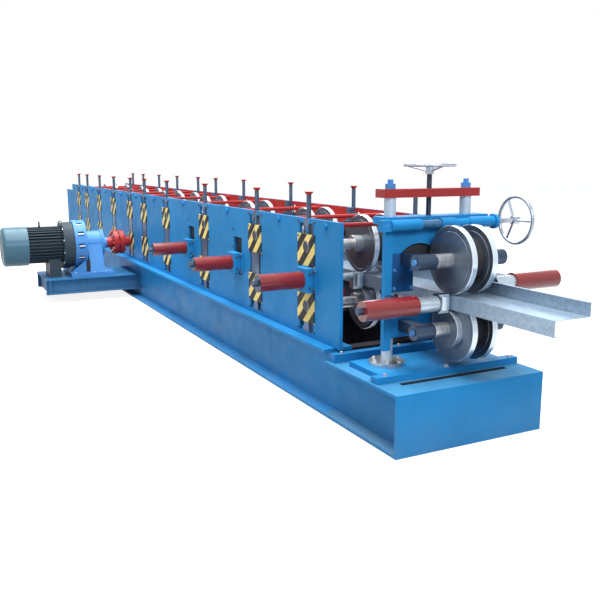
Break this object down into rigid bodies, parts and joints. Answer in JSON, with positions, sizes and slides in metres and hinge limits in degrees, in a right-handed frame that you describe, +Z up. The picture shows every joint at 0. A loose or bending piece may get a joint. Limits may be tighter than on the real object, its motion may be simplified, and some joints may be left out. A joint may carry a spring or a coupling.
{
  "type": "roll forming machine",
  "caption": "Roll forming line for Z purlins: slotted side plates on a beam base, driven roll pairs, geared motor at the side and a straightening stand at the exit.",
  "frame": {"origin": "floor level at the centre of the base frame", "axes": "+X along the strip towards the exit, +Y across to the side away from the motor, +Z up"},
  "size_m": [10.35, 2.571, 1.464],
  "materials": {
    "blue_paint": "gloss enamel",
    "light_blue_paint": "gloss enamel",
    "bearing_block": "satin enamel",
    "striped_cover": "yellow and black hazard stripes",
    "dark_steel": "dark oiled steel",
    "red_paint": "gloss enamel",
    "galvanised": "galvanised sheet with spangle",
    "motor_paint": "dark grey enamel",
    "cowl_paint": "grey blue enamel",
    "bright_steel": "ground steel",
    "bright_chrome": "polished chrome",
    "roll_steel": "turned and hardened steel"
  },
  "bodies": {
    "frame": {"base_beams": "blue_paint", "cross_members": "blue_paint", "exit_section": "blue_paint", "near_side_plate": "blue_paint", "far_side_plate": "blue_paint", "motor_platform": "blue_paint", "entry_guide": "blue_paint", "side_brackets": "blue_paint", "stand_carriage": "blue_paint", "guide_bars": "blue_paint", "stand_head": "blue_paint", "side_adjuster": "blue_paint", "bearing_blocks": "bearing_block", "slot_covers": "striped_cover", "adjusting_screws": "dark_steel", "stand_bearings": "dark_steel", "tie_bars": "red_paint", "side_tubes": "red_paint", "cross_beam": "red_paint", "stand_side_units": "red_paint", "forming_strip": "galvanised", "formed_profile": "galvanised", "reducer": "light_blue_paint", "motor": "motor_paint", "fan_cowl": "cowl_paint", "side_rolls": "bright_steel", "stand_columns": "bright_chrome"},
    "top_wheel": {"lifting_screw": "dark_steel", "top_handwheel": "bright_chrome"},
    "side_wheel": {"side_handwheel": "bright_chrome"},
    "stand_upper": {"stand_upper_roll": "roll_steel"},
    "stand_lower": {"stand_lower_roll": "roll_steel"},
    "lower_1": {"lower_roll_1": "roll_steel"},
    "upper_1": {"upper_roll_1": "roll_steel"},
    "lower_2": {"lower_roll_2": "roll_steel"},
    "upper_2": {"upper_roll_2": "roll_steel"},
    "lower_3": {"lower_roll_3": "roll_steel"},
    "upper_3": {"upper_roll_3": "roll_steel"},
    "lower_4": {"lower_roll_4": "roll_steel"},
    "upper_4": {"upper_roll_4": "roll_steel"},
    "lower_5": {"lower_roll_5": "roll_steel"},
    "upper_5": {"upper_roll_5": "roll_steel"},
    "lower_6": {"lower_roll_6": "roll_steel", "drive_coupling": "red_paint"},
    "upper_6": {"upper_roll_6": "roll_steel"},
    "lower_7": {"lower_roll_7": "roll_steel"},
    "upper_7": {"upper_roll_7": "roll_steel"},
    "lower_8": {"lower_roll_8": "roll_steel"},
    "upper_8": {"upper_roll_8": "roll_steel"},
    "lower_9": {"lower_roll_9": "roll_steel"},
    "upper_9": {"upper_roll_9": "roll_steel"},
    "lower_10": {"lower_roll_10": "roll_steel"},
    "upper_10": {"upper_roll_10": "roll_steel"}
  },
  "joints": [
    {"name": "roll_drive", "type": "hinge", "parent": "frame", "child": "lower_6", "pos_m": [-0.452, 0, 0.588], "axis": [0, -1, 0], "continuous": true},
    {"name": "lower_turn_1", "type": "hinge", "parent": "frame", "child": "lower_1", "pos_m": [3.793, 0, 0.588], "axis": [0, -1, 0], "continuous": true},
    {"name": "lower_turn_2", "type": "hinge", "parent": "frame", "child": "lower_2", "pos_m": [3.013, 0, 0.588], "axis": [0, -1, 0], "continuous": true},
    {"name": "lower_turn_3", "type": "hinge", "parent": "frame", "child": "lower_3", "pos_m": [1.958, 0, 0.588], "axis": [0, -1, 0], "continuous": true},
    {"name": "lower_turn_4", "type": "hinge", "parent": "frame", "child": "lower_4", "pos_m": [0.903, 0, 0.588], "axis": [0, -1, 0], "continuous": true},
    {"name": "lower_turn_5", "type": "hinge", "parent": "frame", "child": "lower_5", "pos_m": [0.123, 0, 0.588], "axis": [0, -1, 0], "continuous": true},
    {"name": "lower_turn_7", "type": "hinge", "parent": "frame", "child": "lower_7", "pos_m": [-1.232, 0, 0.588], "axis": [0, -1, 0], "continuous": true},
    {"name": "lower_turn_8", "type": "hinge", "parent": "frame", "child": "lower_8", "pos_m": [-2.012, 0, 0.588], "axis": [0, -1, 0], "continuous": true},
    {"name": "lower_turn_9", "type": "hinge", "parent": "frame", "child": "lower_9", "pos_m": [-2.792, 0, 0.588], "axis": [0, -1, 0], "continuous": true},
    {"name": "lower_turn_10", "type": "hinge", "parent": "frame", "child": "lower_10", "pos_m": [-3.367, 0, 0.588], "axis": [0, -1, 0], "continuous": true},
    {"name": "upper_turn_1", "type": "hinge", "parent": "frame", "child": "upper_1", "pos_m": [3.793, 0, 0.9585], "axis": [0, -1, 0], "continuous": true},
    {"name": "upper_turn_2", "type": "hinge", "parent": "frame", "child": "upper_2", "pos_m": [3.013, 0, 0.9585], "axis": [0, -1, 0], "continuous": true},
    {"name": "upper_turn_3", "type": "hinge", "parent": "frame", "child": "upper_3", "pos_m": [1.958, 0, 0.9585], "axis": [0, -1, 0], "continuous": true},
    {"name": "upper_turn_4", "type": "hinge", "parent": "frame", "child": "upper_4", "pos_m": [0.903, 0, 0.9585], "axis": [0, -1, 0], "continuous": true},
    {"name": "upper_turn_5", "type": "hinge", "parent": "frame", "child": "upper_5", "pos_m": [0.123, 0, 0.9585], "axis": [0, -1, 0], "continuous": true},
    {"name": "upper_turn_6", "type": "hinge", "parent": "frame", "child": "upper_6", "pos_m": [-0.452, 0, 0.9585], "axis": [0, -1, 0], "continuous": true},
    {"name": "upper_turn_7", "type": "hinge", "parent": "frame", "child": "upper_7", "pos_m": [-1.232, 0, 0.9585], "axis": [0, -1, 0], "continuous": true},
    {"name": "upper_turn_8", "type": "hinge", "parent": "frame", "child": "upper_8", "pos_m": [-2.012, 0, 0.9585], "axis": [0, -1, 0], "continuous": true},
    {"name": "upper_turn_9", "type": "hinge", "parent": "frame", "child": "upper_9", "pos_m": [-2.792, 0, 0.9585], "axis": [0, -1, 0], "continuous": true},
    {"name": "upper_turn_10", "type": "hinge", "parent": "frame", "child": "upper_10", "pos_m": [-3.367, 0, 0.9585], "axis": [0, -1, 0], "continuous": true},
    {"name": "stand_lower_turn", "type": "hinge", "parent": "frame", "child": "stand_lower", "pos_m": [4.7, 0, 0.588], "axis": [0, -1, 0], "continuous": true},
    {"name": "stand_upper_turn", "type": "hinge", "parent": "frame", "child": "stand_upper", "pos_m": [4.7, 0, 0.9585], "axis": [0, -1, 0], "continuous": true},
    {"name": "top_wheel_turn", "type": "hinge", "parent": "frame", "child": "top_wheel", "pos_m": [4.46, 0, 1.3], "axis": [0, 0, 1], "continuous": true},
    {"name": "side_wheel_turn", "type": "hinge", "parent": "frame", "child": "side_wheel", "pos_m": [4.5528, 0.4, 1.14], "axis": [0, 1, 0], "continuous": true}
  ],
  "couplings": [
    {"joint": "lower_turn_1", "follows": "roll_drive", "ratio": 1},
    {"joint": "lower_turn_2", "follows": "roll_drive", "ratio": 1},
    {"joint": "lower_turn_3", "follows": "roll_drive", "ratio": 1},
    {"joint": "lower_turn_4", "follows": "roll_drive", "ratio": 1},
    {"joint": "lower_turn_5", "follows": "roll_drive", "ratio": 1},
    {"joint": "lower_turn_7", "follows": "roll_drive", "ratio": 1},
    {"joint": "lower_turn_8", "follows": "roll_drive", "ratio": 1},
    {"joint": "lower_turn_9", "follows": "roll_drive", "ratio": 1},
    {"joint": "lower_turn_10", "follows": "roll_drive", "ratio": 1},
    {"joint": "upper_turn_1", "follows": "roll_drive", "ratio": -1},
    {"joint": "upper_turn_2", "follows": "roll_drive", "ratio": -1},
    {"joint": "upper_turn_3", "follows": "roll_drive", "ratio": -1},
    {"joint": "upper_turn_4", "follows": "roll_drive", "ratio": -1},
    {"joint": "upper_turn_5", "follows": "roll_drive", "ratio": -1},
    {"joint": "upper_turn_6", "follows": "roll_drive", "ratio": -1},
    {"joint": "upper_turn_7", "follows": "roll_drive", "ratio": -1},
    {"joint": "upper_turn_8", "follows": "roll_drive", "ratio": -1},
    {"joint": "upper_turn_9", "follows": "roll_drive", "ratio": -1},
    {"joint": "upper_turn_10", "follows": "roll_drive", "ratio": -1},
    {"joint": "stand_lower_turn", "follows": "roll_drive", "ratio": 1},
    {"joint": "stand_upper_turn", "follows": "roll_drive", "ratio": -1}
  ]
}
